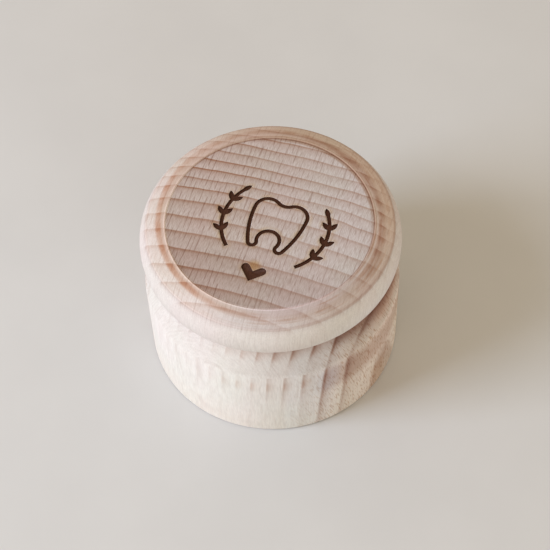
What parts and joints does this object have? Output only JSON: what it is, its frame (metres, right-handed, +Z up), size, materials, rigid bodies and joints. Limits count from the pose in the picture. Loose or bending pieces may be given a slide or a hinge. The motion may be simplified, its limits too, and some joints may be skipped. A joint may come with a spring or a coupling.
{
  "type": "baby tooth box",
  "caption": "Small round turned wooden keepsake box for milk teeth, with a lift-off lid whose sunk top is engraved with a plain tooth, sprigs and a heart.",
  "frame": {"origin": "centre of the flat face that the box stands on", "axes": "+Z up along the turning axis, -Y towards the reader of the engraving"},
  "size_m": [0.05, 0.05, 0.0367],
  "materials": {
    "base_beech": "pale beech, turned along the grain, sanded and left bare",
    "lid_beech": "pale beech with end grain on top, sanded and left bare, engraving burnt dark brown"
  },
  "bodies": {
    "base": {"base": "base_beech"},
    "lid": {"lid": "lid_beech"}
  },
  "joints": [
    {"name": "lid_lift", "type": "slide", "parent": "base", "child": "lid", "axis": [0, 0, 1], "range_m": [0, 0.05]}
  ]
}
